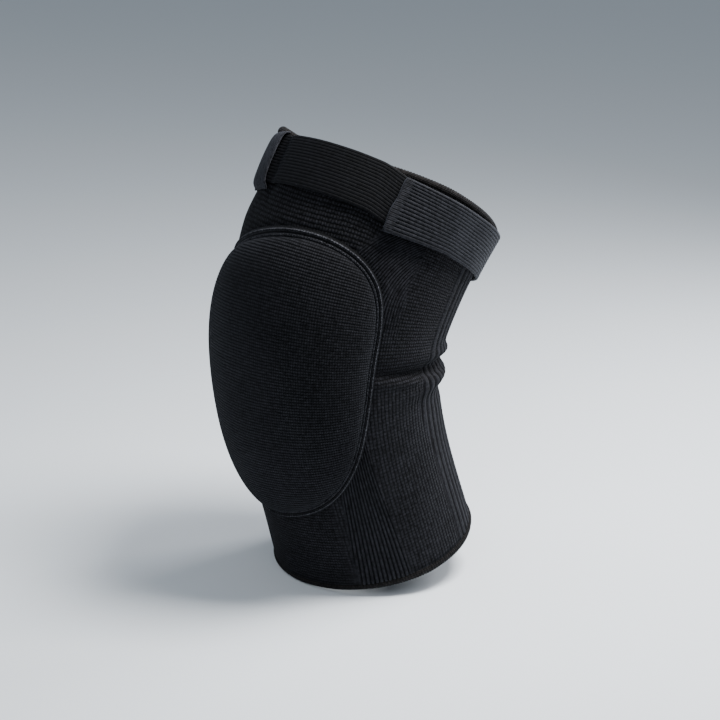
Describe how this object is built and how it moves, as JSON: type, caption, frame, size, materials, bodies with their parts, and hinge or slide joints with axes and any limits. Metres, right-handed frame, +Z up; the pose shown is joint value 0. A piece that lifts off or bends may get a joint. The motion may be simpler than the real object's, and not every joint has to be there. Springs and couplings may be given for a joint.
{
  "type": "volleyball knee pad",
  "caption": "Knee pad for volleyball: a bent knitted sleeve with a padded front, folds behind the knee and an elastic strap with a tab round the thigh.",
  "frame": {"origin": "middle of the wearer's leg, half way along the sleeve", "axes": "+Z up along the standing leg, -Y to the front of the knee, +X to the wearer's left"},
  "size_m": [0.13, 0.1619, 0.2478],
  "materials": {
    "knit": "matte",
    "pad_cover": "matte",
    "stitching": "matte",
    "hem_yarn": "matte",
    "elastic": "satin",
    "tape": "matte"
  },
  "bodies": {
    "root": {"sleeve": "knit", "knee_pad": "pad_cover", "pad_seam": "stitching", "top_hem": "hem_yarn", "bottom_hem": "hem_yarn", "front_strap": "elastic", "rear_strap": "elastic", "keeper_loop": "tape"}
  },
  "joints": []
}
